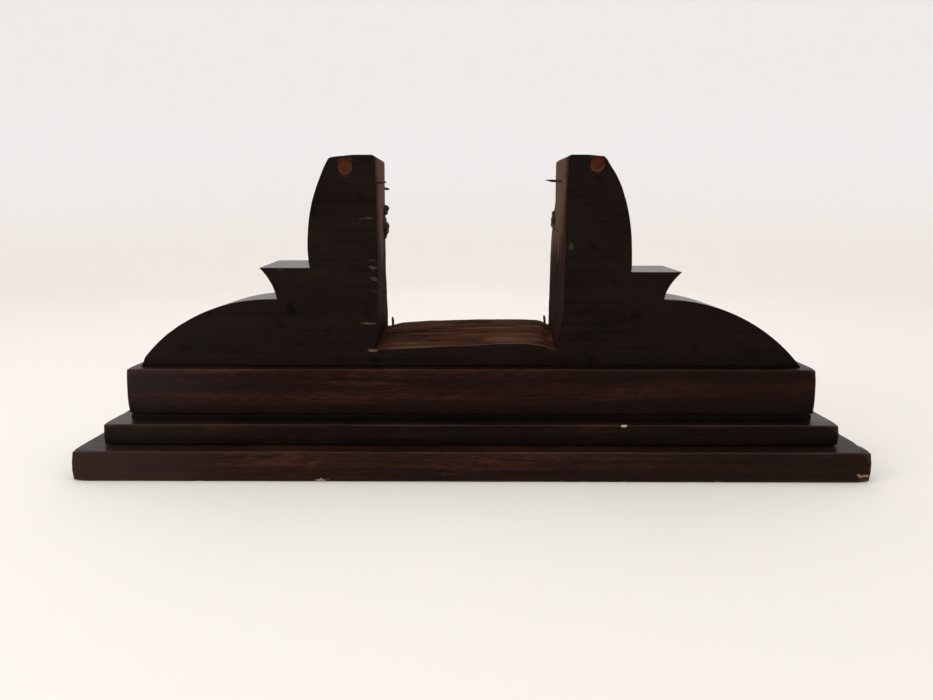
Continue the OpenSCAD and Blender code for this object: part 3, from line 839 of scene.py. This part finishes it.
def glueFinish():
    amber = Finish("dried_glue")
    lumps = amber.noise(amber.place, 420.0, 4.0, 0.6)
    dust = amber.noise(amber.place, 1500.0, 3.0, 0.6)
    colour = amber.blend(amber.step(lumps, 0.4, 0.65), tint(0.006, 0.0026, 0.0012), tint(0.03, 0.0115, 0.0038))
    colour = amber.blend(amber.step(dust, 0.6, 0.78) * 0.35, colour, tint(0.07, 0.036, 0.018))
    return amber.surface({"Base Color": colour, "Roughness": 0.3 + dust * 0.25,
                          "Normal": amber.bumped(lumps + dust * 0.3, 0.15 * mm),
                          "Specular IOR Level": 0.16})


def makeGlue(name, g, material):
    low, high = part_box(g["node"])
    wallX = g["side"] * (scroll["wallX"] - g["lean"])
    mesh = bmesh.new()
    for depthShare, heightShare, thick, wide, tall in g["blobs"]:
        centre = Vector((wallX, low.y + (high.y - low.y) * depthShare, low.z + (high.z - low.z) * heightShare))
        ball = bmesh.ops.create_icosphere(mesh, subdivisions=3, radius=1)["verts"]
        bmesh.ops.scale(mesh, vec=(thick * mm, wide * mm, tall * mm), verts=ball)
        bmesh.ops.translate(mesh, vec=centre, verts=ball)
    piece = asObject(mesh, name)
    fuse = piece.modifiers.new("fuse", "REMESH")
    fuse.mode = "VOXEL"
    fuse.voxel_size = glueLook["voxel"]
    applyModifiers(piece)
    shape = bmesh.new()
    shape.from_mesh(piece.data)
    bmesh.ops.smooth_vert(shape, verts=shape.verts, factor=0.5, use_axis_x=True, use_axis_y=True, use_axis_z=True)
    shape.normal_update()
    for vert in shape.verts:
        bump = rough(vert.co + Vector((g["seed"], 0, 0)), (420, 420, 420))
        vert.co += vert.normal * bump * glueLook["bumps"]
    shape.to_mesh(piece.data)
    shape.free()
    smoothShade(piece, 80)
    return hand(piece, g["node"], material)


def tarnishedBrass():
    brass = Finish("screw_metal")
    tarnish = brass.noise(brass.place, 260.0, 5.0, 0.6)
    shadeAndGrime = brass.noise(brass.place, 900.0, 3.0, 0.6)
    turned = brass.noise(brass.stretched((400, 400, 2600)), detail=2.0)
    colour = brass.blend(brass.step(tarnish, 0.4, 0.62), tint(0.36, 0.24, 0.09), tint(0.14, 0.095, 0.045))
    colour = brass.blend(brass.step(shadeAndGrime, 0.55, 0.75) * 0.7, colour, tint(0.03, 0.026, 0.018))
    return brass.surface({"Base Color": colour, "Metallic": 1.0 - brass.step(shadeAndGrime, 0.55, 0.75) * 0.5,
                          "Roughness": 0.3 + tarnish * 0.3,
                          "Normal": brass.bumped(turned + shadeAndGrime * 0.6, 0.05 * mm)})


for boardName, board in boards.items():
    makeBoard(boardName, board)
makeBody()
for plugName, plugSettings in plugs.items():
    makePlug(plugName, plugSettings)
wireMaterial = rustyWire()
for pinName, pinSettings in pins.items():
    makePin(pinName, pinSettings, wireMaterial)
glueMaterial = glueFinish()
for glueName, glueSettings in glue.items():
    makeGlue(glueName, glueSettings, glueMaterial)
brassMaterial = tarnishedBrass()
for screwNode in ("base_screws", "body_screws"):
    for materialSlot in nodes[screwNode].material_slots:
        materialSlot.material = brassMaterial
print("screws finished")


studio = dict(floorRadius=1.25, sweepRadius=0.5, wallHeight=0.9, floorColour=tint(0.885, 0.835, 0.78),
              wallColour=tint(0.915, 0.905, 0.90), wallFrom=0.02, wallTo=0.3,
              worldColour=(0.98, 0.98, 1.0, 1.0), worldStrength=0.945)
view = dict(place=(0.0015, -0.4652, 0.1295), tilt=81.37, turn=0.45, lens=32.96, sensor=36)
lamps = {
    # place, size, watts, colour
    "windowLight": ((-0.82, -0.62, 0.55), 0.7, 3.5, (0.97, 0.98, 1.0)),
    "overheadLight": ((0.1, -0.15, 1.5), 1.3, 1.2, (1.0, 0.98, 0.96)),
    "warmFill": ((1.0, -0.5, 0.7), 0.7, 0.35, (1.0, 0.93, 0.84)),
    "backFill": ((0.0, 1.05, 0.9), 0.8, 1.2, (1.0, 0.98, 0.95)),
}


def makeFloor():
    mesh = bmesh.new()
    flat, sweep = studio["floorRadius"], studio["sweepRadius"]
    edge = mesh.verts.new((flat, 0, 0))
    made = bmesh.ops.spin(mesh, geom=[edge], cent=(flat, 0, sweep), axis=(0, -1, 0), dvec=(0, 0, 0),
                          angle=math.pi / 2, steps=14, use_merge=False)
    top = [p for p in made["geom_last"] if isinstance(p, bmesh.types.BMVert)][0]
    lineTo(mesh, top, flat + sweep, studio["wallHeight"])
    bmesh.ops.spin(mesh, geom=everything(mesh), cent=(0, 0, 0), axis=(0, 0, 1), dvec=(0, 0, 0),
                   angle=2 * math.pi, steps=96, use_merge=True)
    bmesh.ops.remove_doubles(mesh, verts=mesh.verts, dist=1e-5)
    rim = [e for e in mesh.edges if e.is_boundary and e.verts[0].co.z < 1e-6 and e.verts[1].co.z < 1e-6]
    bmesh.ops.edgeloop_fill(mesh, edges=rim)
    bmesh.ops.translate(mesh, vec=(0, 0, -0.05 * mm), verts=mesh.verts)
    floor = asObject(mesh, "floor")
    if floor.data.polygons[-1].normal.z < 0:
        floor.data.flip_normals()
    floor.data.shade_smooth()
    paper = Finish("floorPaper")
    tooth = paper.noise(paper.place, 30.0, 3.0, 0.5)
    colour = paper.blend(paper.step(paper.part(paper.place, "Z"), studio["wallFrom"], studio["wallTo"]),
                         studio["floorColour"], studio["wallColour"])
    colour = paper.blend(paper.step(tooth, 0.4, 0.8) * 0.15, colour, tint(0.86, 0.82, 0.77))
    floor.data.materials.append(paper.surface({"Base Color": colour, "Roughness": 0.8,
                                               "Specular IOR Level": 0.2}))


def makeLights():
    world = bpy.data.worlds.new("softRoom")
    bpy.context.scene.world = world
    world.use_nodes = True
    background = world.node_tree.nodes["Background"]
    background.inputs["Color"].default_value = studio["worldColour"]
    background.inputs["Strength"].default_value = studio["worldStrength"]
    target = Vector((0, 0, 0.07))
    for name, (place, size, watts, colour) in lamps.items():
        lamp = bpy.data.lights.new(name, "AREA")
        lamp.shape = "DISK"
        lamp.size = size
        lamp.energy = watts
        lamp.color = colour
        light = bpy.data.objects.new(name, lamp)
        light.location = place
        light.rotation_euler = (target - Vector(place)).to_track_quat("-Z", "Y").to_euler()
        bpy.context.scene.collection.objects.link(light)


def makeCamera():
    lens = bpy.data.cameras.new("camera")
    lens.lens = view["lens"]
    lens.sensor_width = view["sensor"]
    lens.clip_start = 0.01
    camera = bpy.data.objects.new("camera", lens)
    camera.location = view["place"]
    camera.rotation_euler = (math.radians(view["tilt"]), 0, math.radians(view["turn"]))
    bpy.context.scene.collection.objects.link(camera)
    bpy.context.scene.camera = camera


makeFloor()
makeLights()
makeCamera()
bpy.context.scene.view_settings.view_transform = "Standard"
print("stage ready")
